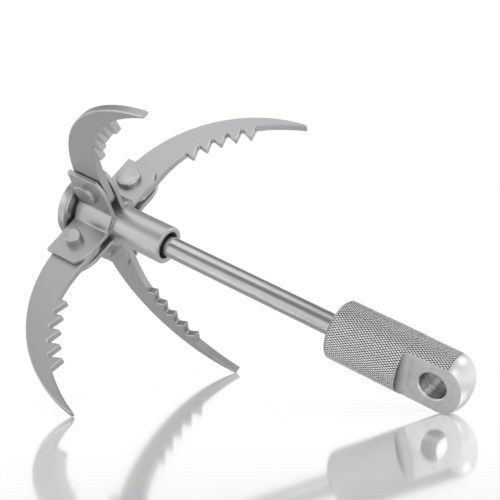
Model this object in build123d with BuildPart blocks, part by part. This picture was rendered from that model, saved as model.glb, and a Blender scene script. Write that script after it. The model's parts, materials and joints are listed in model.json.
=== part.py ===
from build123d import *
import os
from math import asin, cos, degrees, hypot, radians, sin

os.makedirs("parts", exist_ok=True)

# Driving dimensions, in millimetres and degrees.
# "Along" is measured on the shank from the inner face of the stop disc towards the eye.
# "Out" is measured square to the shank, from its centre line.

# Resting pose: the hook stands on the tips of its two lower claws and on the dome of its handle
shank_tilt = 22.3
head_roll = 0.692
head_x = -90.735
head_y = 1.813

# Shank rod, stop disc and handle
rod_r = 5.0
rod_tail = 6.6
rod_seat = 25.0
rod_chamfer = 0.6
disc_r = 17.0
disc_t = 5.5
disc_chamfer = 0.9
handle_start = 143.6
handle_r = 13.3
handle_length = 63.2
handle_chamfer = 1.0
dome_length = 9.6
handle_seat_play = 0.5
flat_offset = 7.2
flat_start = 181.8
flat_runout_r = 3.6
eye_along = 192.5
eye_r = 6.3
eye_chamfer = 0.5
eye_roll = 113.6

# Sliding head: tube with a floating bush inside
tube_r = 9.1
tube_start = 0.3
tube_end = 50.0
tube_chamfer = 0.5
bore_r = 6.6
shoulder_r = 5.4
shoulder_end = 8.0
running_clear = 0.05
bush_length = 31.5
bush_play = 0.2

# Claws
claw_angles = (-45.0, 45.0, 135.0, 221.0)
claw_rest_folds = (0.0, -3.0, 0.0, 8.5)
claw_t = 4.0
claw_edge = 0.5
pivot_along = 10.0
pivot_out = 21.0
back_r = 69.1
back_centre = (62.1, 2.5)
inner_r = 57.8
inner_centre = (69.0, 12.0)
heel_drop = 1.2
tooth_count = 5
tooth_first = 163.8
tooth_pitch = 7.7
tooth_land = 0.6
tooth_lean = (0.5, 0.6)
tooth_tip = 0.8
tooth_depth = (4.3, 0.4)
point_run_r = 85.0
tip_top_x = 57.2
tip_low = (57.9, 70.3)

# Bent brackets, one between each pair of neighbouring claws
side_clear = 0.3
sheet_t = 2.2
bridge_r = 11.4
bend_r = 1.5
wing_start = 1.3
wing_end = 22.1
wing_out = 31.6
wing_curve_r = 16.0
wing_curve_from = 21.0
wing_edge = 0.3

# Claw pins
pin_r = 4.0
pin_fit = 0.03
pin_head_r = 6.0
pin_head_t = 2.5
pin_end_out = 4.0
pin_edge = 0.5

# Weld beads
weld_leg = 1.6
weld_gap = 12.0

# Worked-out sizes
handle_end = handle_start + handle_length
dome_centre = handle_end - dome_length
wing_inner = claw_t / 2 + side_clear
wing_outer = wing_inner + sheet_t
heel_left = back_centre[0] - back_r
heel_right = inner_centre[0] - inner_r
heel_r = (heel_right - heel_left) / 2
tip_top = (tip_top_x, back_centre[1] + (back_r ** 2 - (tip_top_x - back_centre[0]) ** 2) ** 0.5)
far = 60.0


def turned(point, angle):
    """A point in a claw's own plane after the claw folds by angle towards the handle."""
    turn = radians(angle)
    return (point[0] * cos(turn) + point[1] * sin(turn), point[1] * cos(turn) - point[0] * sin(turn))


def tip_height(index):
    """Height of a lower claw's tip above the shank's zero point."""
    along, out = turned(tip_top, claw_rest_folds[index])
    angle = radians(claw_angles[index] + head_roll)
    tilt = radians(shank_tilt)
    reach = (pivot_out + out) * cos(angle) - (claw_t / 2 - claw_edge) * abs(sin(angle))
    return reach * cos(tilt) - (pivot_along + along) * sin(tilt)


dome_drop = hypot(dome_length * sin(radians(shank_tilt)), handle_r * cos(radians(shank_tilt)))
dome_height = -dome_centre * sin(radians(shank_tilt)) - dome_drop
head_z = -min(tip_height(2), tip_height(3), dome_height)

axis_dir = Vector(cos(radians(shank_tilt)), 0, -sin(radians(shank_tilt)))
up_dir = Vector(sin(radians(shank_tilt)), 0, cos(radians(shank_tilt)))
zero = Vector(head_x, head_y, head_z)
shank_axis = Axis(zero, axis_dir)


def outward(angle):
    """Unit vector square to the shank, angle degrees from the top towards the front."""
    return up_dir * cos(radians(angle)) + Vector(0, -1, 0) * sin(radians(angle))


def square_plane(along, angle=0.0):
    """Plane square to the shank, its x towards angle and its y a quarter turn further on."""
    return Plane(origin=zero + axis_dir * along, x_dir=outward(angle), z_dir=axis_dir)


def long_plane(angle):
    """Plane through the shank: x along it, y outward at angle, z towards the next claw."""
    return Plane(origin=zero, x_dir=axis_dir, z_dir=axis_dir.cross(outward(angle)))


def claw_plane(index):
    """A claw's own plane, with its origin on the pivot and turned by the claw's resting fold."""
    out = outward(claw_angles[index] + head_roll)
    fold = radians(claw_rest_folds[index])
    pivot = zero + axis_dir * pivot_along + out * pivot_out
    return Plane(origin=pivot, x_dir=axis_dir * cos(fold) - out * sin(fold), z_dir=axis_dir.cross(out))


def on_inner_arc(angle, inwards=0.0):
    """A point on the claw's inner arc, or a distance inwards of it."""
    turn = radians(angle)
    radius = inner_r - inwards
    return (inner_centre[0] + radius * cos(turn), inner_centre[1] + radius * sin(turn))


def shank_axis_distance(point):
    """Distance of a point from the shank's centre line."""
    return (point - zero).cross(axis_dir).length


def tooth_line():
    """Corners of the saw teeth, from the root end of the toothed stretch to the tip end."""
    corners = []
    for k in range(tooth_count):
        valley = tooth_first - k * tooth_pitch
        lean = tooth_lean[0] + tooth_lean[1] * k
        depth = tooth_depth[0] + tooth_depth[1] * k
        corners.append(on_inner_arc(valley - tooth_land))
        corners.append(on_inner_arc(valley - tooth_land - lean, depth))
        corners.append(on_inner_arc(valley - tooth_land - lean - tooth_tip, depth))
        corners.append(on_inner_arc(valley - tooth_pitch + tooth_land))
    corners.append(on_inner_arc(tooth_first - tooth_count * tooth_pitch - tooth_land))
    return corners


# ---- Shank ----
with BuildPart() as shank_rod:
    with BuildSketch(square_plane(-rod_tail)):
        Circle(rod_r)
    extrude(amount=rod_tail + handle_start + rod_seat)
    chamfer(shank_rod.edges().filter_by(GeomType.CIRCLE), rod_chamfer)
shank_rod.part.label = "shank_rod"
export_step(shank_rod.part, "parts/shank_rod.step")

with BuildPart() as stop_disc:
    with BuildSketch(square_plane(-disc_t)):
        Circle(disc_r)
        Circle(rod_r, mode=Mode.SUBTRACT)
    extrude(amount=disc_t)
    rims = stop_disc.edges().filter_by(GeomType.CIRCLE).filter_by(lambda e: e.radius > rod_r + 1)
    chamfer(rims, disc_chamfer)
stop_disc.part.label = "stop_disc"
export_step(stop_disc.part, "parts/stop_disc.step")

with BuildPart() as disc_weld:
    with BuildSketch(long_plane(0)):
        with BuildLine():
            Polyline(
                (-disc_t, rod_r), (-disc_t, rod_r + weld_leg), (-disc_t - weld_leg / 2, rod_r + weld_leg / 2),
                (-disc_t - weld_leg / 2, rod_r), close=True)
        make_face()
    revolve(axis=shank_axis)
disc_weld.part.label = "disc_weld"
export_step(disc_weld.part, "parts/disc_weld.step")

with BuildPart() as knurled_handle:
    with BuildSketch(long_plane(0)):
        with BuildLine():
            FilletPolyline(
                (handle_start, rod_r), (handle_start, handle_r - handle_chamfer),
                (handle_start + handle_chamfer, handle_r), (dome_centre, handle_r), radius=0.3)
            EllipticalCenterArc((dome_centre, 0), dome_length, handle_r, start_angle=0, arc_size=90)
            Polyline(
                (handle_end, 0), (handle_start + rod_seat + handle_seat_play, 0),
                (handle_start + rod_seat + handle_seat_play, rod_r), (handle_start, rod_r))
        make_face()
    revolve(axis=shank_axis)
    for side in (0, 180):
        with BuildSketch(long_plane(eye_roll + side)):
            with BuildLine():
                lead = JernArc((flat_start, flat_offset), (-1, 0), flat_runout_r, -90)
                Polyline(
                    lead @ 1, (flat_start - flat_runout_r, handle_r + 1), (handle_end + 1, handle_r + 1),
                    (handle_end + 1, flat_offset), (flat_start, flat_offset))
            make_face()
        extrude(amount=handle_r + 1, both=True, mode=Mode.SUBTRACT)
    with BuildSketch(Plane(origin=zero + axis_dir * eye_along, x_dir=axis_dir, z_dir=outward(eye_roll))):
        Circle(eye_r)
    extrude(amount=handle_r, both=True, mode=Mode.SUBTRACT)
    rims = knurled_handle.edges().filter_by(GeomType.CIRCLE)
    rims = rims.filter_by(lambda e: abs(e.radius - eye_r) < 0.01)
    chamfer(rims, eye_chamfer)
knurled_handle.part.label = "knurled_handle"
export_step(knurled_handle.part, "parts/knurled_handle.step")

# ---- Sliding head ----
with BuildPart() as head_tube:
    with BuildSketch(long_plane(0)):
        with BuildLine():
            Polyline(
                (tube_start, shoulder_r), (tube_start, tube_r - tube_chamfer),
                (tube_start + tube_chamfer, tube_r), (tube_end - tube_chamfer, tube_r),
                (tube_end, tube_r - tube_chamfer), (tube_end, bore_r + tube_chamfer),
                (tube_end - tube_chamfer, bore_r), (shoulder_end, bore_r),
                (shoulder_end, shoulder_r), close=True)
        make_face()
    revolve(axis=shank_axis)
head_tube.part.label = "head_tube"
export_step(head_tube.part, "parts/head_tube.step")

with BuildPart() as guide_bush:
    with BuildSketch(square_plane(shoulder_end + bush_play)):
        Circle(bore_r - running_clear)
        Circle(rod_r + running_clear, mode=Mode.SUBTRACT)
    extrude(amount=bush_length)
guide_bush.part.label = "guide_bush"
export_step(guide_bush.part, "parts/guide_bush.step")

# ---- Brackets, each with its weld to the tube ----
wing_curve_turn = degrees(asin((wing_out - wing_curve_from) / wing_curve_r))

for index in range(4):
    this_angle = claw_angles[index] + head_roll
    next_angle = claw_angles[(index + 1) % 4] + head_roll
    spread = (next_angle - this_angle) % 360
    spread_x, spread_y = cos(radians(spread)), sin(radians(spread))
    corner_x = wing_inner * (1 + spread_x) / spread_y

    with BuildPart() as bracket:
        with BuildSketch(square_plane(wing_start, this_angle)) as section:
            Circle(bridge_r)
            with Locations((0, wing_inner)):
                Rectangle(wing_out, sheet_t, align=Align.MIN)
            with Locations((wing_inner * spread_y, -wing_inner * spread_x)):
                Rectangle(wing_out, sheet_t, rotation=spread, align=(Align.MIN, Align.MAX))
            with BuildLine():
                Polyline(
                    (corner_x, wing_inner), (corner_x + far, wing_inner),
                    (corner_x + far * (1 + spread_x), wing_inner + far * spread_y),
                    (corner_x + far * spread_x, wing_inner + far * spread_y), close=True)
            make_face(mode=Mode.INTERSECT)
            bends = section.vertices().filter_by(lambda v: abs(Vector(v).length - bridge_r) < 0.01)
            fillet(bends, bend_r)
            Circle(tube_r, mode=Mode.SUBTRACT)
        extrude(amount=wing_end - wing_start)
        for angle, side in ((this_angle, 1), (next_angle, -1)):
            with BuildSketch(long_plane(angle)):
                with BuildLine():
                    curve = JernArc((wing_end, wing_curve_from), (0, 1), wing_curve_r, wing_curve_turn)
                    Polyline(
                        curve @ 1, (wing_end - wing_curve_r, far), (wing_end + 1, far),
                        (wing_end + 1, wing_curve_from), (wing_end, wing_curve_from))
                make_face()
            extrude(amount=wing_outer * side, mode=Mode.SUBTRACT)
        rims = bracket.edges().filter_by(lambda e: shank_axis_distance(e.center()) > bridge_r + bend_r)
        chamfer(rims, wing_edge)
        for angle, side in ((this_angle, 1), (next_angle, -1)):
            with BuildSketch(long_plane(angle)):
                with Locations((pivot_along, pivot_out)):
                    Circle(pin_r + pin_fit)
            extrude(amount=wing_outer * side, mode=Mode.SUBTRACT)
    name = f"bracket_{index + 1}"
    bracket.part.label = name
    export_step(bracket.part, f"parts/{name}.step")

    with BuildPart() as bracket_weld:
        with BuildSketch(long_plane(this_angle + weld_gap)):
            with BuildLine():
                Polyline(
                    (wing_end, tube_r), (wing_end, tube_r + weld_leg), (wing_end + weld_leg, tube_r), close=True)
            make_face()
        revolve(axis=shank_axis, revolution_arc=spread - 2 * weld_gap)
    name = f"bracket_weld_{index + 1}"
    bracket_weld.part.label = name
    export_step(bracket_weld.part, f"parts/{name}.step")

# ---- Claws and their pins ----
for index in range(4):
    plane = claw_plane(index)
    with BuildPart() as claw:
        with BuildSketch(plane):
            with BuildLine():
                heel_y = -heel_drop
                teeth = tooth_line()
                RadiusArc(tip_top, (heel_left, back_centre[1]), -back_r)
                Line((heel_left, back_centre[1]), (heel_left, heel_y))
                RadiusArc((heel_left, heel_y), (heel_right, heel_y), -heel_r)
                Line((heel_right, heel_y), (heel_right, inner_centre[1]))
                RadiusArc((heel_right, inner_centre[1]), teeth[0], inner_r)
                Polyline(teeth)
                RadiusArc(teeth[-1], tip_low, point_run_r)
                Line(tip_low, tip_top)
            make_face()
            Circle(pin_r + running_clear, mode=Mode.SUBTRACT)
        extrude(amount=claw_t / 2, both=True)
        rims = claw.faces().filter_by(Axis(plane.origin, plane.z_dir)).edges()
        chamfer(rims.filter_by(lambda e: e.distance_to(plane.origin) > pin_r + 1), claw_edge)
    name = f"claw_{index + 1}"
    claw.part.label = name
    export_step(claw.part, f"parts/{name}.step")

    pin_plane = Plane(origin=plane.origin, x_dir=axis_dir, z_dir=plane.z_dir)
    with BuildPart() as claw_pin:
        with BuildSketch(pin_plane.offset(-wing_outer - pin_end_out)):
            Circle(pin_r)
        extrude(amount=pin_end_out + 2 * wing_outer)
        with BuildSketch(pin_plane.offset(wing_outer)):
            Circle(pin_head_r)
        extrude(amount=pin_head_t)
        ends = claw_pin.faces().filter_by(GeomType.PLANE).sort_by(Axis(pin_plane.origin, pin_plane.z_dir))
        chamfer(ends[0].edges(), pin_edge)
        fillet(ends[-1].edges(), pin_edge)
    name = f"claw_pin_{index + 1}"
    claw_pin.part.label = name
    export_step(claw_pin.part, f"parts/{name}.step")
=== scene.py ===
"""Folding grapnel hook: finishes for its steel parts, its knurled grip, its welds and a pale studio."""

import json
from math import pi, radians

import bpy
import numpy as np
from bpy.props import FloatProperty, FloatVectorProperty, IntProperty, PointerProperty
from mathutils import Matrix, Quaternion, Vector


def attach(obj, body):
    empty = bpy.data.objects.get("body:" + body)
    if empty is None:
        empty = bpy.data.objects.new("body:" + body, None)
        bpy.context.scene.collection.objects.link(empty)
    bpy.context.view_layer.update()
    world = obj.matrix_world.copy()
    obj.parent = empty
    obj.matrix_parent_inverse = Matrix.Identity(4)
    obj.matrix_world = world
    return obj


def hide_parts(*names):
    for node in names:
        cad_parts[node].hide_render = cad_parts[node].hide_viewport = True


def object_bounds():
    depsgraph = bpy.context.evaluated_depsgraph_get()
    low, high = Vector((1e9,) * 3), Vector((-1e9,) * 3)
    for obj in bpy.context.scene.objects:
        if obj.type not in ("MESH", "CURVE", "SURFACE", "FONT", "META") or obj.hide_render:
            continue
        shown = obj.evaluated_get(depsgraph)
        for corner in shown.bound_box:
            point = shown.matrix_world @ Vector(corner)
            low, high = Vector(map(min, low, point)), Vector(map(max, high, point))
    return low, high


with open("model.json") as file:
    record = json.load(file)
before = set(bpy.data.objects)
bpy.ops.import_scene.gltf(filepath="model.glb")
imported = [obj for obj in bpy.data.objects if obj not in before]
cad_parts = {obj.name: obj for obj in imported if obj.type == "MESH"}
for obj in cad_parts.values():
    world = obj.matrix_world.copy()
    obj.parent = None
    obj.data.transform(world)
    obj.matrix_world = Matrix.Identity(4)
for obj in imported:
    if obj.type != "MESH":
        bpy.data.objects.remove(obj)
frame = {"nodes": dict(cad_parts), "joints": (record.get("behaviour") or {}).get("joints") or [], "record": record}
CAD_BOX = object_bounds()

bl_info = {
    "name": "Folding grapnel hook",
    "version": (1, 0, 0),
    "blender": (4, 5, 0),
    "location": "View3D > Sidebar > Grapnel",
    "description": "Gives a folding grapnel its steel finishes, knurl, turned parts, welds and studio",
    "category": "Object",
}

MM = 0.001
TURN = 2 * pi

ROD_CHAMFER = 0.6 * MM
DISC_CHAMFER = 0.9 * MM
TUBE_CHAMFER = 0.5 * MM
TUBE_MOUTH_CHAMFER = 0.45 * MM
PIN_CHAMFER = 0.5 * MM
PIN_HEAD_ROUND = 0.8 * MM
CORNER_EASE = 0.15 * MM
DISC_EASE = 0.2 * MM
BORE_EASE = 0.1 * MM
MOUTH_EASE = 0.18 * MM
PIN_EASE = 0.12 * MM

# The knurl's shell: how far its root and its inner face are under the solid's skin, and how far its grooves'
# floor is lifted off the root where the knurl is full
KNURL_ROOT_DROP = 0.04 * MM
KNURL_SHELL = 0.5 * MM
KNURL_LIFT = 0.06 * MM
KNURL_FADE_START = 0.35 * MM
KNURL_FADE_END = 0.5 * MM
SIDE_STRIP_COLUMNS = 130

# The drilled eye: its rims' chamfer, the drill's ridges and the liner that carries them
EYE_CHAMFER = 0.5 * MM
EYE_BRIGHT_RIM = 0.3 * MM
DRILL_PITCH = 1.25 * MM
DRILL_RIDGE = 0.28 * MM
DRILL_STEP = 0.12 * MM
LINER_WALL = 0.3 * MM
LINER_CLEAR = 0.03 * MM
LINER_OVERLAP = 0.05 * MM
# RUN_OUT_SHADE: how far past a flat the painted shade on the cutter's run-out wall takes to reach its full darkness
RUN_OUT_SHADE = 3.5 * MM

# Two measures of a mesh that differ by less than this are the same
SKIN = 0.01 * MM

# Height of the direction looked along, where the walls start to darken and where the ceiling is reached
WALL_TOP = 0.22
CEILING_EDGE = 0.5
FLOOR_REACH = 6.0

# Plates: grain, mottling, clouding and scratches in features to the metre, then reaches of the edges' wear and
# painted highlight and of the corners' painted shade
PLATE_GRAIN = 2600.0
PLATE_MOTTLE = 150.0
PLATE_CLOUD = 38.0
PLATE_SCRATCH = (90.0, 3200.0, 3200.0)
PLATE_EDGE_WEAR_AND_HIGHLIGHT = 0.5 * MM
PLATE_CORNER_SHADE = 3.5 * MM

# Soft lights: name, place from the middle of the object in metres, size in metres and power in watts
LAMPS = (
    ("overhead", (-0.15, -0.1, 0.9), 0.7, 1.35),
    ("left_front", (-0.8, -0.7, 0.45), 0.5, 1.2),
    ("right_front", (0.9, -0.6, 0.5), 0.45, 1.5),
    ("right_back", (0.5, 0.35, 0.5), 0.4, 1.0),
)

NODES = frame["nodes"]
JOINTS = {joint["name"]: joint for joint in frame["joints"]}
EYE = frame["record"]["mounts"][0]

# The shank's own directions: along it, square to it towards the top, and square to it towards the front
ALONG = Vector(JOINTS["head_spin"]["axis"])
ZERO = Vector(JOINTS["head_spin"]["pos_m"])
TOP = ALONG.cross(Vector((0.0, 1.0, 0.0))).normalized()
FRONT = ALONG.cross(TOP)
TILT = TOP.angle(Vector((0.0, 0.0, 1.0)))
EYE_CENTRE = Vector(EYE["pos_m"])
EYE_AXIS = Vector(EYE["axis"])


# ---- Sizes read from the frame ----

def polar(node, origin=ZERO, direction=ALONG):
    """Distance along a line, and distance from it, of every vertex of a CAD node."""
    mesh = NODES[node].data
    places = np.empty(len(mesh.vertices) * 3)
    mesh.vertices.foreach_get("co", places)
    places = places.reshape(-1, 3) - np.array(origin)
    along = places @ np.array(direction)
    return along, np.linalg.norm(places - along[:, None] * np.array(direction), axis=1)


def angle_round(point):
    """Angle of a point round the shank, from the top towards the front."""
    arm = point - ZERO
    return np.arctan2(arm.dot(FRONT), arm.dot(TOP))


def pivot(number):
    """Centre of a claw's pivot, and the direction of its pin, towards the next claw."""
    joint = JOINTS[f"claw_{number}_fold"]
    return Vector(joint["pos_m"]), -Vector(joint["axis"])


# ---- Meshes from grids of points ----

def piece_from_grid(name, points, wrap_rows, wrap_columns, sharp_angle):
    """
    A closed mesh from a grid of points. Each point joins its neighbours in its row and its column. A wrapped
    direction joins its last line to its first; rows that don't wrap are closed by one flat face at each end.
    Faces look outwards when columns turn by the right hand about the way that rows advance.
    """
    rows, columns, _ = points.shape
    index = np.arange(rows * columns).reshape(rows, columns)
    across = np.roll(index, -1, axis=1)
    near, far = (index, np.roll(index, -1, axis=0)) if wrap_rows else (index[:-1], index[1:])
    near_across, far_across = (across, np.roll(across, -1, axis=0)) if wrap_rows else (across[:-1], across[1:])
    quads = np.stack((near, near_across, far_across, far), axis=-1)
    if not wrap_columns:
        quads = quads[:, :-1]
    faces = quads.reshape(-1, 4).tolist()
    if not wrap_rows:
        faces += [index[0, ::-1].tolist(), index[-1].tolist()]
    mesh = bpy.data.meshes.new(name)
    mesh.from_pydata(points.reshape(-1, 3).tolist(), [], faces)
    mesh.polygons.foreach_set("use_smooth", np.ones(len(faces), bool))
    mesh.set_sharp_from_angle(angle=sharp_angle)
    piece = bpy.data.objects.new(name, mesh)
    bpy.context.scene.collection.objects.link(piece)
    return piece


def round_line(along, radius, angle, origin=ZERO, direction=ALONG, start=TOP):
    """
    Points round a straight line, as whole arrays: the line's origin, plus along times its direction, plus
    radius times (the start direction's cosine part and the quarter-turn direction's sine part).
    """
    side = direction.cross(start)
    wheel = np.cos(angle)[..., None] * np.array(start) + np.sin(angle)[..., None] * np.array(side)
    return np.array(origin) + along[..., None] * np.array(direction) + radius[..., None] * wheel


def eased(corners, steps=4):
    """
    A profile with its corners eased. Each corner is (along, radius, ease); it becomes a short curve that starts
    and ends the ease distance away and bends towards the corner: (1-t)^2 A + 2t(1-t) C + t^2 B.
    """
    places = np.array([corner[:2] for corner in corners])
    ease = np.array([corner[2] for corner in corners])[:, None]
    before = np.roll(places, 1, axis=0) - places
    after = np.roll(places, -1, axis=0) - places
    start = places + before / np.linalg.norm(before, axis=1)[:, None] * ease
    end = places + after / np.linalg.norm(after, axis=1)[:, None] * ease
    t = np.linspace(0, 1, steps)[None, :, None]
    curve = (1 - t) ** 2 * start[:, None] + 2 * t * (1 - t) * places[:, None] + t ** 2 * end[:, None]
    return curve.reshape(-1, 2)


def turned_piece(name, corners, hollow, origin=ZERO, direction=ALONG, start=TOP, segments=160):
    """
    A lathe-turned piece: an eased profile of (along, radius) swept once round a line. A hollow piece's profile is
    a loop; a solid one's runs from its first flat end to its last.
    """
    profile = eased(corners)
    angle = np.linspace(0, TURN, segments, endpoint=False)
    along, turn = np.meshgrid(profile[:, 0], angle, indexing="ij")
    radius = np.broadcast_to(profile[:, 1:], along.shape)
    points = round_line(along, radius, turn, origin, direction, start)
    return piece_from_grid(name, points, hollow, True, radians(28))


# ---- Material nodes ----

class Nodes:
    """A material's node tree, with short calls that add a node and wire it up."""

    def __init__(self, name):
        self.material = bpy.data.materials.new(name)
        self.material.use_nodes = True
        self.tree = self.material.node_tree
        self.shader = self.tree.nodes["Principled BSDF"]

    def add(self, kind, inputs=(), output=0, **settings):
        """Adds a node, sets its settings, fills its inputs with values or sockets, and gives one output."""
        node = self.tree.nodes.new(kind)
        for key, value in settings.items():
            setattr(node, key, value)
        for key, value in dict(inputs).items():
            if isinstance(value, bpy.types.NodeSocket):
                self.tree.links.new(value, node.inputs[key])
            else:
                node.inputs[key].default_value = value
        return node.outputs[output]

    def math(self, operation, first, second=0.0, third=0.0):
        """One Math node."""
        return self.add("ShaderNodeMath", {0: first, 1: second, 2: third}, operation=operation)

    def shank_place(self):
        """Object coordinates turned so that x runs along the shank from its zero point."""
        place = self.add("ShaderNodeTexCoord", output="Object")
        moved = self.add("ShaderNodeMapping", {"Vector": place, "Location": -ZERO})
        return self.add("ShaderNodeMapping", {"Vector": moved, "Rotation": (0.0, -TILT, 0.0)})

    def noise(self, place, scale, detail=3.0, roughness=0.55):
        """Noise whose scale is given in features to the metre, one number or one for each direction."""
        if not isinstance(scale, (int, float)):
            place = self.add("ShaderNodeVectorMath", {0: place, 1: scale}, operation="MULTIPLY")
            scale = 1.0
        return self.add("ShaderNodeTexNoise", {
            "Vector": place, "Scale": scale, "Detail": detail, "Roughness": roughness})

    def spread(self, value, low, high, from_low=0.3, from_high=0.7):
        """Moves a value from one range to another, held within the new range."""
        return self.add("ShaderNodeMapRange", {
            "Value": value, "From Min": from_low, "From Max": from_high, "To Min": low, "To Max": high})

    def blend(self, share, first, second):
        """Colour between first and second."""
        return self.add("ShaderNodeMix", {"Factor": share, 6: first, 7: second}, output=2, data_type="RGBA")

    def edge_wear_and_highlight(self, width):
        """How far the surface turns within a width: 0 on a face, rising to 1 across its edges."""
        rounded = self.add("ShaderNodeBevel", {"Radius": width}, samples=6)
        surface = self.add("ShaderNodeNewGeometry", output="True Normal")
        likeness = self.add("ShaderNodeVectorMath", {0: rounded, 1: surface}, output="Value", operation="DOT_PRODUCT")
        return self.spread(likeness, 1.0, 0.0, 0.9, 0.995)

    def painted_corner_shade(self, reach, depth, colour):
        """Painted shade: a colour darkened in the piece's own corners, where its faces crowd together within the
        reach.
        """
        opened = self.add(
            "ShaderNodeAmbientOcclusion", {"Distance": reach}, output="AO", samples=6, only_local=True)
        return self.blend(self.spread(opened, depth, 0.0, 0.25, 0.85), colour, shade(0.04))

    def bumped(self, height, depth):
        """A normal from a height between 0 and 1 that stands depth metres proud."""
        return self.add("ShaderNodeBump", {"Height": height, "Distance": depth, "Strength": 1.0})

    def finish(self, colour, roughness, normal):
        """Wires the shader of a bare metal."""
        for key, socket in (("Base Color", colour), ("Roughness", roughness), ("Normal", normal)):
            self.tree.links.new(socket, self.shader.inputs[key])
        self.shader.inputs["Metallic"].default_value = 1.0
        return self.material


def shade(value):
    """A neutral colour, very slightly cool, of one brightness."""
    return (value, value, value * 1.01, 1.0)


def drawn_steel(name, dark, light, rough, lines_across, lines_along, depth):
    """Steel with fine lines along the shank: stretched noise in its brightness, roughness and height."""
    nodes = Nodes(name)
    place = nodes.shank_place()
    lines = nodes.noise(place, (lines_along, lines_across, lines_across))
    streaks = nodes.noise(place, (lines_along * 0.3, lines_across * 0.16, lines_across * 0.16), 2.0)
    cloud = nodes.noise(place, 130.0, 4.0)
    tone = nodes.math("ADD", nodes.math("MULTIPLY", lines, 0.45), nodes.math("MULTIPLY", streaks, 0.4))
    tone = nodes.math("ADD", tone, nodes.math("MULTIPLY", cloud, 0.15))
    colour = nodes.blend(nodes.spread(tone, 0.0, 1.0, 0.35, 0.65), shade(dark), shade(light))
    roughness = nodes.spread(tone, rough * 1.25, rough * 0.8)
    return nodes.finish(colour, roughness, nodes.bumped(lines, depth))


def turned_steel(name, look):
    """Steel faced in a lathe: fine rings about the shank, from noise of the distance from its centre line."""
    nodes = Nodes(name)
    place = nodes.shank_place()
    across = nodes.add("ShaderNodeVectorMath", {0: place, 1: (0.0, 1.0, 1.0)}, operation="MULTIPLY")
    distance = nodes.add("ShaderNodeVectorMath", {0: across}, output="Value", operation="LENGTH")
    ring = nodes.add("ShaderNodeCombineXYZ", {"X": distance})
    rings = nodes.noise(ring, 5200.0, 2.0)
    cloud = nodes.noise(place, 210.0, 4.0)
    tone = nodes.math("ADD", nodes.math("MULTIPLY", rings, 0.6), nodes.math("MULTIPLY", cloud, 0.4))
    colour = nodes.blend(nodes.spread(tone, 0.0, 1.0, 0.3, 0.7), shade(look.bar_dark), shade(look.plate_light))
    roughness = nodes.spread(cloud, look.bar_roughness * 1.4, look.bar_roughness * 1.8)
    return nodes.finish(colour, roughness, nodes.bumped(rings, 0.004 * MM))


def tumbled_steel(name, look):
    """Satin plate: a fine tumbled grain, wide soft mottling and a few thin scratches."""
    nodes = Nodes(name)
    place = nodes.add("ShaderNodeTexCoord", output="Object")
    grain = nodes.noise(place, PLATE_GRAIN, 3.0, 0.6)
    mottle = nodes.noise(place, PLATE_MOTTLE, 5.0, 0.6)
    cloud = nodes.noise(place, PLATE_CLOUD, 2.0)
    crossed = nodes.add("ShaderNodeMapping", {"Vector": place, "Rotation": (0.7, 0.5, 0.9)})
    scratches = nodes.spread(nodes.noise(crossed, PLATE_SCRATCH, 2.0), 0.0, 1.0, 0.66, 0.74)
    tone = nodes.math("ADD", nodes.math("MULTIPLY", mottle, 0.5), nodes.math("MULTIPLY", grain, 0.3))
    tone = nodes.math("ADD", tone, nodes.math("MULTIPLY", cloud, 0.2))
    colour = nodes.blend(nodes.spread(tone, 0.0, 1.0, 0.36, 0.64), shade(look.plate_dark), shade(look.plate_light))
    colour = nodes.blend(nodes.math("MULTIPLY", scratches, 0.35), colour, shade(look.bar_light))
    # Edges lightened: partly rubbed wear, partly painted highlight where the chamfers would catch the light
    edge = nodes.math("MULTIPLY", nodes.edge_wear_and_highlight(PLATE_EDGE_WEAR_AND_HIGHLIGHT), nodes.spread(mottle, 0.55, 1.0))
    # Painted shade: darkens the colour in the piece's own corners
    colour = nodes.painted_corner_shade(PLATE_CORNER_SHADE, 0.9, nodes.blend(edge, colour, shade(look.edge)))
    roughness = nodes.spread(tone, look.plate_roughness * 1.2, look.plate_roughness * 0.85)
    height = nodes.math("SUBTRACT", grain, nodes.math("MULTIPLY", scratches, 0.5))
    return nodes.finish(colour, roughness, nodes.bumped(height, 0.018 * MM))


def knurl_steel(name, look):
    """Knurled steel: bright rubbed crests and painted shade down in the grooves, from the crest attribute that the
    mesh carries.
    """
    nodes = Nodes(name)
    crest = nodes.add("ShaderNodeAttribute", output="Fac", attribute_name="crest")
    place = nodes.add("ShaderNodeTexCoord", output="Object")
    speck = nodes.noise(place, 1900.0, 2.0)
    lifted = nodes.math("ADD", crest, nodes.math("MULTIPLY", nodes.math("SUBTRACT", speck, 0.5), 0.25))
    # Painted shade in the grooves: the colour falls to the groove brightness at the bottom of each groove
    colour = nodes.blend(nodes.spread(lifted, 0.0, 1.0, 0.2, 0.38), shade(look.groove), shade(look.crest))
    roughness = nodes.spread(lifted, 0.6, look.bar_roughness, 0.1, 0.8)
    return nodes.finish(colour, roughness, nodes.bumped(speck, 0.006 * MM))


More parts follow.
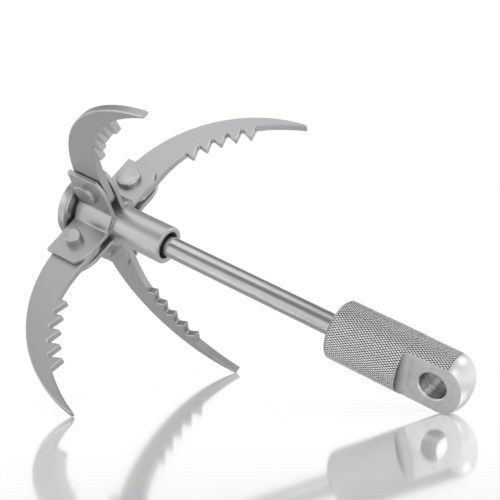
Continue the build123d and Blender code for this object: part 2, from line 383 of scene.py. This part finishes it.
def grip_steel(name, look, flat_offset, dome_start, eye_rim):
    """
    The grip's solid: a bright rim round the eye, a polished turned dome where the shank's length is past its start
    and the surface isn't on a flat, and milled matt metal everywhere else, with painted shade over ring marks where
    the cutter ran out.
    """
    nodes = Nodes(name)
    place = nodes.add("ShaderNodeTexCoord", output="Object")
    moved = nodes.add("ShaderNodeMapping", {"Vector": place, "Location": -EYE_CENTRE})
    offset = nodes.add(
        "ShaderNodeVectorMath", {0: moved, 1: EYE_AXIS}, output="Value", operation="DOT_PRODUCT")
    on_axis = nodes.add("ShaderNodeVectorMath", {0: EYE_AXIS, "Scale": offset}, operation="SCALE")
    off_axis = nodes.add("ShaderNodeVectorMath", {0: moved, 1: on_axis}, operation="SUBTRACT")
    from_eye = nodes.add("ShaderNodeVectorMath", {0: off_axis}, output="Value", operation="LENGTH")
    shank = nodes.shank_place()
    past = nodes.add("ShaderNodeSeparateXYZ", {0: shank})
    from_middle = nodes.math("ABSOLUTE", offset)
    flat = nodes.math("COMPARE", from_middle, flat_offset, 2 * SKIN)
    dome = nodes.math("MULTIPLY", nodes.math("GREATER_THAN", past, dome_start), nodes.math("SUBTRACT", 1.0, flat))
    rim = nodes.math("LESS_THAN", from_eye, eye_rim)
    grain = nodes.noise(place, 2400.0, 3.0, 0.6)
    mottle = nodes.noise(place, 260.0, 4.0, 0.6)
    lengthwise = nodes.add("ShaderNodeVectorMath", {0: shank, 1: (1.0, 0.0, 0.0)}, operation="MULTIPLY")
    rings = nodes.noise(lengthwise, 3000.0, 2.0)
    milled = nodes.blend(nodes.spread(mottle, 0.0, 1.0), shade(look.flat_dark), shade(look.flat_light))
    # Painted shade on the cutter's run-out wall, over fine ring marks, deepening away from the flat
    run_out_shade_share = nodes.spread(from_middle, 0.0, 1.0, flat_offset, flat_offset + RUN_OUT_SHADE)
    run_out_painted_shade = nodes.blend(nodes.spread(rings, 0.0, 1.0), shade(look.flat_dark * 0.3), shade(look.flat_dark * 0.85))
    milled = nodes.blend(run_out_shade_share, milled, run_out_painted_shade)
    polished = nodes.blend(nodes.spread(rings, 0.0, 1.0), shade(look.dome_dark), shade(look.dome_light))
    bright = nodes.math("MAXIMUM", dome, rim)
    colour = nodes.blend(bright, milled, polished)
    roughness = nodes.add("ShaderNodeMix", {
        "Factor": bright, "A": nodes.spread(grain, 0.42, 0.56), "B": nodes.spread(mottle, 0.42, 0.48)})
    height = nodes.add("ShaderNodeMix", {"Factor": bright, "A": grain, "B": nodes.math("MULTIPLY", rings, 0.3)})
    return nodes.finish(colour, roughness, nodes.bumped(height, 0.012 * MM))


def bored_steel(name, look):
    """Drilled bore: steel with fine drill marks round it, from noise of the distance along the eye's axis."""
    nodes = Nodes(name)
    place = nodes.add("ShaderNodeTexCoord", output="Object")
    depth = nodes.add("ShaderNodeVectorMath", {0: place, 1: EYE_AXIS}, output="Value", operation="DOT_PRODUCT")
    marks = nodes.noise(nodes.add("ShaderNodeCombineXYZ", {"X": depth}), 1700.0, 2.0)
    colour = nodes.blend(nodes.spread(marks, 0.0, 1.0), shade(0.16), shade(0.7))
    return nodes.finish(colour, nodes.spread(marks, 0.2, 0.3), nodes.bumped(marks, 0.01 * MM))


def weld_steel(name, look):
    """Weld metal: uneven, a little oxidised in the low spots."""
    nodes = Nodes(name)
    place = nodes.add("ShaderNodeTexCoord", output="Object")
    lumps = nodes.noise(place, 900.0, 4.0, 0.65)
    colour = nodes.blend(nodes.spread(lumps, 0.0, 1.0), shade(0.2), shade(look.plate_light))
    return nodes.finish(colour, nodes.spread(lumps, 0.5, 0.25), nodes.bumped(lumps, 0.06 * MM))


def bush_plastic(name):
    """Black bearing plastic with faint turning marks."""
    nodes = Nodes(name)
    marks = nodes.noise(nodes.shank_place(), (4000.0, 90.0, 90.0), 2.0)
    colour = nodes.blend(nodes.spread(marks, 0.0, 1.0), shade(0.04), shade(0.06))
    nodes.finish(colour, nodes.spread(marks, 0.4, 0.55), nodes.bumped(marks, 0.01 * MM))
    nodes.shader.inputs["Metallic"].default_value = 0.0
    return nodes.material


def shared(name, make, *details):
    """A material by name, made once."""
    return bpy.data.materials.get(name) or make(name, *details)


def dress(piece, material):
    """Puts one material in every slot of an object, or in a new slot."""
    if not piece.material_slots:
        piece.data.materials.append(material)
    for slot in piece.material_slots:
        slot.material = material


def stand_in(piece, node, body, material):
    """Puts a new piece in a CAD node's place and hides the node; the piece moves with its body and takes its finish.
    """
    dress(piece, material)
    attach(piece, body)
    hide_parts(node)


# ---- Settings ----

class GrapnelFinish(bpy.types.PropertyGroup):
    """Brightness and roughness of the steel."""

    bar_dark: FloatProperty(
        name="Bar, dark", description="Brightness of the turned steel's darker lines",
        default=0.4, min=0.0, max=1.0, subtype="FACTOR")
    bar_light: FloatProperty(
        name="Bar, light", description="Brightness of the turned steel's lighter lines",
        default=0.64, min=0.0, max=1.0, subtype="FACTOR")
    bar_roughness: FloatProperty(
        name="Bar roughness", description="Roughness of the turned and drawn steel",
        default=0.22, min=0.0, max=1.0, subtype="FACTOR")
    tube_dark: FloatProperty(
        name="Tube, dark", description="Brightness of the brushed tube's darker lines",
        default=0.28, min=0.0, max=1.0, subtype="FACTOR")
    tube_light: FloatProperty(
        name="Tube, light", description="Brightness of the brushed tube's lighter lines",
        default=0.5, min=0.0, max=1.0, subtype="FACTOR")
    tube_roughness: FloatProperty(
        name="Tube roughness", description="Roughness of the brushed tube",
        default=0.27, min=0.0, max=1.0, subtype="FACTOR")
    plate_dark: FloatProperty(
        name="Plate, dark", description="Brightness of the satin plate's darker mottling",
        default=0.41, min=0.0, max=1.0, subtype="FACTOR")
    plate_light: FloatProperty(
        name="Plate, light", description="Brightness of the satin plate's lighter mottling",
        default=0.56, min=0.0, max=1.0, subtype="FACTOR")
    plate_roughness: FloatProperty(
        name="Plate roughness", description="Roughness of the satin plate",
        default=0.36, min=0.0, max=1.0, subtype="FACTOR")
    # Edge: brightness of the plates' edges, partly rubbed wear and partly painted highlight
    edge: FloatProperty(
        name="Edge", description="Brightness of the rubbed edges of the plates",
        default=0.8, min=0.0, max=1.0, subtype="FACTOR")
    flat_dark: FloatProperty(
        name="Flat, dark", description="Brightness of the milled flats' darker mottling",
        default=0.64, min=0.0, max=1.0, subtype="FACTOR")
    flat_light: FloatProperty(
        name="Flat, light", description="Brightness of the milled flats' lighter mottling",
        default=0.78, min=0.0, max=1.0, subtype="FACTOR")
    dome_dark: FloatProperty(
        name="Dome, dark", description="Brightness of the polished end's darker rings",
        default=0.78, min=0.0, max=1.0, subtype="FACTOR")
    dome_light: FloatProperty(
        name="Dome, light", description="Brightness of the polished end's lighter rings",
        default=0.92, min=0.0, max=1.0, subtype="FACTOR")
    crest: FloatProperty(
        name="Crest", description="Brightness of the knurl's rubbed crests",
        default=1.0, min=0.0, max=1.0, subtype="FACTOR")
    # Groove: painted shade at the bottom of the knurl's grooves
    groove: FloatProperty(
        name="Groove", description="Brightness at the bottom of the knurl's grooves",
        default=0.02, min=0.0, max=1.0, subtype="FACTOR")


class GrapnelKnurl(bpy.types.PropertyGroup):
    """Size of the diamond knurl."""

    count: IntProperty(
        name="Grooves round", description="Number of grooves of each hand round the grip",
        default=71, min=8, max=200)
    lead: FloatProperty(
        name="Diamond length", description="Length of one diamond along the grip",
        default=2.0 * MM, min=0.2 * MM, max=10 * MM, subtype="DISTANCE")
    depth: FloatProperty(
        name="Groove depth", description="Height of the diamonds above their grooves",
        default=0.3 * MM, min=0.0, max=1.0 * MM, subtype="DISTANCE")
    samples: IntProperty(
        name="Fineness", description="Mesh points across one diamond",
        default=8, min=4, max=10)


class GrapnelWeld(bpy.types.PropertyGroup):
    """Size of the weld beads."""

    bead: FloatProperty(
        name="Bead radius", description="Radius of a weld bead's round section",
        default=0.6 * MM, min=0.1 * MM, max=5 * MM, subtype="DISTANCE")
    ripple: FloatProperty(
        name="Ripple length", description="Distance between the ripples of a bead",
        default=0.9 * MM, min=0.1 * MM, max=5 * MM, subtype="DISTANCE")
    gap: FloatProperty(
        name="End gap", description="Angle left bare at each end of a bracket's bead",
        default=radians(12), min=0.0, max=radians(40), subtype="ANGLE")


class GrapnelStage(bpy.types.PropertyGroup):
    """Floor, light and camera."""

    azimuth: FloatProperty(
        name="Azimuth", description="Camera's angle round the object, from the front towards the right",
        default=radians(30.371), subtype="ANGLE")
    elevation: FloatProperty(
        name="Elevation", description="Camera's angle above the horizon",
        default=radians(3.415), subtype="ANGLE")
    roll: FloatProperty(
        name="Roll", description="Camera's turn about its own line of sight",
        default=radians(-1.913), subtype="ANGLE")
    distance: FloatProperty(
        name="Distance", description="Camera's distance from the point that it looks at",
        default=480 * MM, min=0.05, subtype="DISTANCE")
    aim: FloatVectorProperty(
        name="Aim", description="The point the camera looks at, from the middle of the object's box",
        default=(4.46 * MM, -7.04 * MM, 2.2 * MM), subtype="TRANSLATION")
    lens: FloatProperty(
        name="Lens", description="Focal length in millimetres for a 36 mm sensor",
        default=78.985, min=10.0)
    horizon: FloatProperty(
        name="Horizon", description="Brightness of the studio's walls near the floor",
        default=1.0, min=0.0)
    ceiling: FloatProperty(
        name="Ceiling", description="Brightness of the studio overhead",
        default=0.36, min=0.0)
    floor_glow: FloatProperty(
        name="Floor glow", description="Light that the floor gives of its own",
        default=0.12, min=0.0)


def settings():
    """The scene's settings for this object."""
    return bpy.context.scene.grapnel


# ---- Shank ----

def weld_bead(name, along, radius, first, last, weld, closed):
    """
    A weld bead round the shank. Its section is a circle about (along, radius) whose radius is the bead's, times
    one plus small ripples: a rectified sine of the distance run, and two slower sines that make it uneven. An
    open bead narrows to its ends as the fourth root of a sine.
    """
    run = (last - first) * radius
    steps = int(run / weld.ripple * 7)
    share = np.linspace(0, 1, steps, endpoint=not closed)[:, None]
    turn = np.linspace(0, TURN, 20, endpoint=False)[None, :]
    ripple = np.abs(np.sin(pi * share * round(run / weld.ripple)))
    uneven = 0.07 * np.sin(TURN * share * 3 + 1.0 + turn) + 0.05 * np.sin(TURN * share * 7 + 2 * turn)
    section = weld.bead * (0.88 + 0.16 * ripple + uneven)
    if not closed:
        section = section * np.maximum(np.sin(pi * share), 0.002) ** 0.25
    points = round_line(
        along + section * np.cos(turn), radius + section * np.sin(turn),
        np.broadcast_to(first + (last - first) * share, section.shape))
    return piece_from_grid(name, points, closed, True, radians(60))


class GRAPNEL_OT_shank(bpy.types.Operator):
    """Turns the round shank, its stop disc and the bead that joins them"""

    bl_idname = "grapnel.shank"
    bl_label = "Shank and disc"

    def execute(self, context):
        look, weld = settings().finish, settings().weld
        along, radius = polar("shank_rod")
        start, end, rod_radius = along.min(), along.max(), radius.max()
        rod = turned_piece("rod_turned", (
            (start, rod_radius / 2, 0), (start, rod_radius - ROD_CHAMFER, CORNER_EASE),
            (start + ROD_CHAMFER, rod_radius, CORNER_EASE), (end - ROD_CHAMFER, rod_radius, CORNER_EASE),
            (end, rod_radius - ROD_CHAMFER, CORNER_EASE), (end, rod_radius / 2, 0)), False)
        polish = shared("drawn_bar", drawn_steel, look.bar_dark, look.bar_light, look.bar_roughness,
                        5200.0, 22.0, 0.012 * MM)
        stand_in(rod, "shank_rod", "shank", polish)

        along, radius = polar("stop_disc")
        start, end, outer = along.min(), along.max(), radius.max()
        disc = turned_piece("disc_turned", (
            (start, rod_radius, 0), (start, outer - DISC_CHAMFER, DISC_EASE),
            (start + DISC_CHAMFER, outer, DISC_EASE), (end - DISC_CHAMFER, outer, DISC_EASE),
            (end, outer - DISC_CHAMFER, DISC_EASE), (end, rod_radius, 0)), True, segments=240)
        stand_in(disc, "stop_disc", "shank", shared("faced_disc", turned_steel, look))

        bead = weld_bead("disc_bead", start, rod_radius, 0.0, TURN, weld, True)
        stand_in(bead, "disc_weld", "shank", shared("weld", weld_steel, look))
        return {"FINISHED"}


# ---- Grip ----

def knurl_height(along, angle, knurl):
    """
    Height of the knurl between 0 and 1: the lower of two tent waves, one for each hand of groove. Their phases are
    grooves round times the turn, plus and minus the distance along divided by the diamond length.
    """
    turns = knurl.count * angle / TURN
    tents = [1 - np.abs(2 * np.mod(turns + hand * along / knurl.lead, 1.0) - 1) for hand in (1, -1)]
    return np.minimum(*tents)


def knurled_shell(name, along, angle, crest, root, inner, knurl, wrap):
    """
    A thin shell whose outer face is at root plus depth times the knurl's height times the crest allowance, and
    whose inner face is at the inner radius. Wrapped, the grid closes on itself round the grip, with two inner
    rows; otherwise its columns go out over the outer face and come back under it.
    """
    height = knurl_height(along, angle, knurl) * crest
    radius = root + (KNURL_LIFT + knurl.depth * height) * np.minimum(crest * 4, 1.0)
    if wrap:
        ends = np.array((-1, 0))
        along, angle = (np.concatenate((grid, grid[ends])) for grid in (along, angle))
        radius = np.concatenate((radius, np.full_like(radius[ends], inner)))
        height = np.concatenate((height, np.zeros_like(height[ends])))
    else:
        back = (slice(None), slice(None, None, -8))
        radius = np.concatenate((radius, np.full_like(radius[back], inner)), axis=1)
        height = np.concatenate((height, np.zeros_like(height[back])), axis=1)
        along, angle = (np.concatenate((grid, grid[back]), axis=1) for grid in (along, angle))
    piece = piece_from_grid(name, round_line(along, radius, angle), wrap, True, radians(75))
    mark = piece.data.attributes.new("crest", "FLOAT", "POINT")
    mark.data.foreach_set("value", height.astype(np.float32).ravel())
    return piece


class GripSizes:
    """The grip's sizes, read from its CAD node."""

    def __init__(self):
        along, radius = polar("knurled_handle")
        offset, _ = polar("knurled_handle", EYE_CENTRE, EYE_AXIS)
        self.outer = radius.max()
        self.root = self.outer - KNURL_ROOT_DROP
        self.inner = self.outer - KNURL_SHELL
        self.flat_offset = EYE["dims"]["length_mm"] * MM / 2 + EYE_CHAMFER
        on_skin = along[radius > self.outer - SKIN]
        self.start, self.end = on_skin.min(), on_skin.max()
        cut = (along > self.start + 1.0 * MM) & (radius > self.flat_offset - SKIN)
        self.flat_start = along[cut & (np.abs(np.abs(offset) - self.flat_offset) < SKIN)].min()
        self.wall = along[cut].min()
        self.cutter = self.flat_start - self.wall


def knurled_piece(piece, material):
    """Finishes a knurled piece and fixes it to the shank."""
    dress(piece, material)
    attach(piece, "shank")


def knurl_round(grip, knurl, material):
    """The knurl round the whole grip, from its start to the wall that the flats' cutter left."""
    rows = np.arange(grip.start, grip.wall, knurl.lead / knurl.samples)
    rows[-1] = grip.wall
    angle = np.linspace(0, TURN, knurl.count * knurl.samples, endpoint=False)
    along, turn = np.meshgrid(rows, angle, indexing="ij")
    crest = np.clip((along - grip.start) / KNURL_FADE_START, 0, 1)
    ring = knurled_shell("grip_knurl", along, turn, crest, grip.root, grip.inner, knurl, True)
    knurled_piece(ring, material)


def knurl_beside_flats(grip, knurl, material):
    """
    The knurl on the two round sides between the flats. Its edge is where the skin meets the flat, at the arccosine
    of the flat's offset over the radius, with the offset raised by the cutter's quarter circle where that runs out.
    """
    eye_turn = np.arctan2(EYE_AXIS.dot(FRONT), EYE_AXIS.dot(TOP))
    rows = np.arange(grip.wall, grip.end, knurl.lead / knurl.samples)
    rows[-1] = grip.end
    run_out = np.sqrt(np.maximum(grip.cutter ** 2 - np.maximum(grip.flat_start - rows, 0) ** 2, 0))
    edge = np.arccos(np.minimum((grip.flat_offset + grip.cutter - run_out) / grip.outer, 1.0))
    share = np.linspace(0, 1, SIDE_STRIP_COLUMNS)[None, :]
    along = np.broadcast_to(rows[:, None], (len(rows), share.size))
    crest = np.clip((grip.end - along) / KNURL_FADE_END, 0, 1)
    for number, side in enumerate((0.0, pi), start=1):
        turn = eye_turn + side + edge[:, None] + (pi - 2 * edge[:, None]) * share
        name = f"grip_knurl_side_{number}"
        strip = knurled_shell(name, along, turn, crest, grip.root, grip.inner, knurl, False)
        knurled_piece(strip, material)


def eye_liner(grip, bore, material):
    """
    A thin ridged liner in the eye. Its radius is the bore's less a ridge, the square of a raised cosine of the
    distance along the eye.
    """
    depth = grip.flat_offset - EYE_CHAMFER + LINER_OVERLAP
    drilled = np.arange(-depth, depth, DRILL_STEP)[::-1]
    ridge = DRILL_RIDGE * (0.5 + 0.5 * np.cos(TURN * drilled / DRILL_PITCH)) ** 2
    profile = np.concatenate((
        np.array(((drilled[-1], bore + LINER_WALL), (drilled[0], bore + LINER_WALL))),
        np.stack((drilled, bore - LINER_CLEAR - ridge), axis=1)))
    wheel = np.linspace(0, TURN, 120, endpoint=False)
    line, turn = np.meshgrid(profile[:, 0], wheel, indexing="ij")
    radius = np.broadcast_to(profile[:, 1:], line.shape)
    points = round_line(line, radius, turn, EYE_CENTRE, EYE_AXIS, ALONG)
    liner = piece_from_grid("eye_bore", points, True, True, radians(50))
    knurled_piece(liner, material)


class GRAPNEL_OT_grip(bpy.types.Operator):
    """Cuts the knurl round the grip, and finishes its flats, domed end and drilled eye"""

    bl_idname = "grapnel.grip"
    bl_label = "Knurled grip"

    def execute(self, context):
        look, knurl = settings().finish, settings().knurl
        grip = GripSizes()
        bore = EYE["dims"]["r_mm"] * MM
        knurled = shared("knurl", knurl_steel, look)
        knurl_round(grip, knurl, knurled)
        knurl_beside_flats(grip, knurl, knurled)
        eye_liner(grip, bore, shared("drilled_bore", bored_steel, look))
        turned_end = shared("grip", grip_steel, look, grip.flat_offset, grip.end, bore + EYE_BRIGHT_RIM)
        dress(NODES["knurled_handle"], turned_end)
        return {"FINISHED"}


# ---- Sliding head ----

class GRAPNEL_OT_head(bpy.types.Operator):
    """Turns the sliding tube, finishes the brackets and lays their weld beads"""

    bl_idname = "grapnel.head"
    bl_label = "Head and brackets"

    def execute(self, context):
        look, weld = settings().finish, settings().weld
        along, radius = polar("head_tube")
        start, end, outer = along.min(), along.max(), radius.max()
        mouth = radius[along > end - 1.0 * MM].min()
        shoulder = radius.min()
        step = along[(radius < mouth + SKIN) & (radius > shoulder + BORE_EASE)].min()
        tube = turned_piece("tube_turned", (
            (start, shoulder, BORE_EASE), (start, outer - TUBE_CHAMFER, CORNER_EASE),
            (start + TUBE_CHAMFER, outer, CORNER_EASE), (end - TUBE_MOUTH_CHAMFER, outer, MOUTH_EASE),
            (end, outer - TUBE_MOUTH_CHAMFER, MOUTH_EASE), (end, mouth + TUBE_CHAMFER, CORNER_EASE),
            (end - TUBE_CHAMFER, mouth, CORNER_EASE), (step, mouth, BORE_EASE), (step, shoulder, BORE_EASE)),
            True, segments=200)
        brushed = shared("brushed_tube", drawn_steel, look.tube_dark, look.tube_light, look.tube_roughness,
                         3600.0, 30.0, 0.022 * MM)
        stand_in(tube, "head_tube", "head", brushed)

        dress(NODES["guide_bush"], shared("bush", bush_plastic))
        plate = shared("satin_plate", tumbled_steel, look)
        turns = [angle_round(pivot(number)[0]) for number in (1, 2, 3, 4)]
        for number in (1, 2, 3, 4):
            bracket = f"bracket_{number}"
            dress(NODES[bracket], plate)
            along, _ = polar(bracket)
            first = turns[number - 1] + weld.gap
            last = first + (turns[number % 4] - turns[number - 1]) % TURN - 2 * weld.gap
            bead = weld_bead(f"bracket_bead_{number}", along.max(), outer, first, last, weld, False)
            stand_in(bead, f"bracket_weld_{number}", "head", shared("weld", weld_steel, look))
        return {"FINISHED"}


# ---- Claws and pins ----

class GRAPNEL_OT_claws(bpy.types.Operator):
    """Gives the claws their tumbled satin finish"""

    bl_idname = "grapnel.claws"
    bl_label = "Claws"

    def execute(self, context):
        for number in (1, 2, 3, 4):
            dress(NODES[f"claw_{number}"], shared("satin_plate", tumbled_steel, settings().finish))
        return {"FINISHED"}


class GRAPNEL_OT_pins(bpy.types.Operator):
    """Turns the claws' headed pins"""

    bl_idname = "grapnel.pins"
    bl_label = "Claw pins"

    def execute(self, context):
        look = settings().finish
        for number in (1, 2, 3, 4):
            centre, direction = pivot(number)
            along, radius = polar(f"claw_pin_{number}", centre, direction)
            shank = radius[along < 0].max()
            under_head = along[radius > shank + 0.2 * MM].min()
            start, end, head = along.min(), along.max(), radius.max()
            pin = turned_piece(f"pin_turned_{number}", (
                (start, shank * 0.4, 0), (start, shank - PIN_CHAMFER, PIN_EASE),
                (start + PIN_CHAMFER, shank, PIN_EASE), (under_head, shank, 0), (under_head, head, CORNER_EASE),
                (end, head, PIN_HEAD_ROUND), (end, head / 2, 0)), False, centre, direction, ALONG, 96)
            stand_in(pin, f"claw_pin_{number}", "head", shared("pin", tumbled_steel, look))
        return {"FINISHED"}


# ---- Stage ----

def studio_world(stage):
    """Pale walls that darken overhead: brightness from the height of the direction looked along."""
    world = bpy.data.worlds.new("studio")
    world.use_nodes = True
    tree = world.node_tree
    place = tree.nodes.new("ShaderNodeTexCoord")
    split = tree.nodes.new("ShaderNodeSeparateXYZ")
    tree.links.new(place.outputs["Generated"], split.inputs[0])
    spread = tree.nodes.new("ShaderNodeMapRange")
    spread.interpolation_type = "SMOOTHSTEP"
    limits = {"From Min": WALL_TOP, "From Max": CEILING_EDGE, "To Min": stage.horizon, "To Max": stage.ceiling}
    for key, value in limits.items():
        spread.inputs[key].default_value = value
    tree.links.new(split.outputs["Z"], spread.inputs["Value"])
    background = tree.nodes["Background"]
    background.inputs["Color"].default_value = (1.0, 1.0, 1.0, 1.0)
    tree.links.new(spread.outputs[0], background.inputs["Strength"])
    bpy.context.scene.world = world


def soft_light(name, place, aim, size, energy):
    """A square soft light that looks at a point."""
    light = bpy.data.lights.new(name, "AREA")
    light.shape = "SQUARE"
    light.size = size
    light.energy = energy
    lamp = bpy.data.objects.new(name, light)
    lamp.location = place
    lamp.rotation_euler = (aim - place).to_track_quat("-Z", "Y").to_euler()
    bpy.context.scene.collection.objects.link(lamp)


def pale_floor(stage):
    """A wide glossy white floor: a grid that lies flat at the object's lowest point."""
    side = np.linspace(-FLOOR_REACH, FLOOR_REACH, 5)
    x, y = np.meshgrid(side, side, indexing="ij")
    points = np.stack((x, y, np.zeros_like(x)), axis=-1)
    index = np.arange(x.size).reshape(x.shape)
    quads = np.stack((index[:-1, :-1], index[1:, :-1], index[1:, 1:], index[:-1, 1:]), axis=-1)
    mesh = bpy.data.meshes.new("floor")
    mesh.from_pydata(points.reshape(-1, 3).tolist(), [], quads.reshape(-1, 4).tolist())
    floor = bpy.data.objects.new("floor", mesh)
    bpy.context.scene.collection.objects.link(floor)
    nodes = Nodes("glossy_floor")
    place = nodes.add("ShaderNodeTexCoord", output="Object")
    cloud = nodes.noise(place, 3.0)
    colour = nodes.blend(cloud, shade(0.9), shade(0.93))
    nodes.finish(colour, nodes.spread(cloud, 0.07, 0.09), nodes.bumped(cloud, 0.001 * MM))
    nodes.shader.inputs["Metallic"].default_value = 0.7
    nodes.shader.inputs["Emission Color"].default_value = (1.0, 1.0, 1.0, 1.0)
    nodes.shader.inputs["Emission Strength"].default_value = stage.floor_glow
    dress(floor, nodes.material)


class GRAPNEL_OT_stage(bpy.types.Operator):
    """Sets out the pale floor, the soft lights and the camera"""

    bl_idname = "grapnel.stage"
    bl_label = "Studio"

    def execute(self, context):
        stage = settings().stage
        scene = context.scene
        scene.view_settings.view_transform = "Standard"
        studio_world(stage)
        pale_floor(stage)
        middle = (Vector(CAD_BOX[0]) + Vector(CAD_BOX[1])) / 2
        for name, place, size, energy in LAMPS:
            soft_light(name, middle + Vector(place), middle, size, energy)

        level = np.cos(stage.elevation)
        ahead = Vector((-np.sin(stage.azimuth) * level, np.cos(stage.azimuth) * level, -np.sin(stage.elevation)))
        camera = bpy.data.objects.new("camera", bpy.data.cameras.new("camera"))
        camera.data.lens = stage.lens
        camera.data.sensor_width = 36.0
        camera.data.clip_start = 0.01
        camera.location = middle + Vector(stage.aim) - ahead * stage.distance
        turned = ahead.to_track_quat("-Z", "Y") @ Quaternion((0.0, 0.0, 1.0), stage.roll)
        camera.rotation_euler = turned.to_euler()
        scene.collection.objects.link(camera)
        scene.camera = camera
        return {"FINISHED"}


# ---- Add-on ----

class GrapnelSettings(bpy.types.PropertyGroup):
    """All of the grapnel's settings."""

    finish: PointerProperty(type=GrapnelFinish)
    knurl: PointerProperty(type=GrapnelKnurl)
    weld: PointerProperty(type=GrapnelWeld)
    stage: PointerProperty(type=GrapnelStage)


OPERATORS = (GRAPNEL_OT_shank, GRAPNEL_OT_grip, GRAPNEL_OT_head, GRAPNEL_OT_claws, GRAPNEL_OT_pins, GRAPNEL_OT_stage)


class GRAPNEL_PT_sidebar(bpy.types.Panel):
    """Settings and steps of the grapnel"""

    bl_label = "Folding grapnel"
    bl_space_type = "VIEW_3D"
    bl_region_type = "UI"
    bl_category = "Grapnel"

    def draw(self, context):
        chosen = settings()
        for group in (chosen.finish, chosen.knurl, chosen.weld, chosen.stage):
            box = self.layout.box()
            for key in group.bl_rna.properties.keys():
                if key not in ("rna_type", "name"):
                    box.prop(group, key)
        for operator in OPERATORS:
            self.layout.operator(operator.bl_idname)


CLASSES = (GrapnelFinish, GrapnelKnurl, GrapnelWeld, GrapnelStage, GrapnelSettings, *OPERATORS, GRAPNEL_PT_sidebar)


def register():
    for item in CLASSES:
        bpy.utils.register_class(item)
    bpy.types.Scene.grapnel = PointerProperty(type=GrapnelSettings)


def unregister():
    del bpy.types.Scene.grapnel
    for item in reversed(CLASSES):
        bpy.utils.unregister_class(item)


def main():
    register()
    bpy.ops.grapnel.shank()
    bpy.ops.grapnel.grip()
    bpy.ops.grapnel.head()
    bpy.ops.grapnel.claws()
    bpy.ops.grapnel.pins()
    bpy.ops.grapnel.stage()


if __name__ == "__main__":
    main()
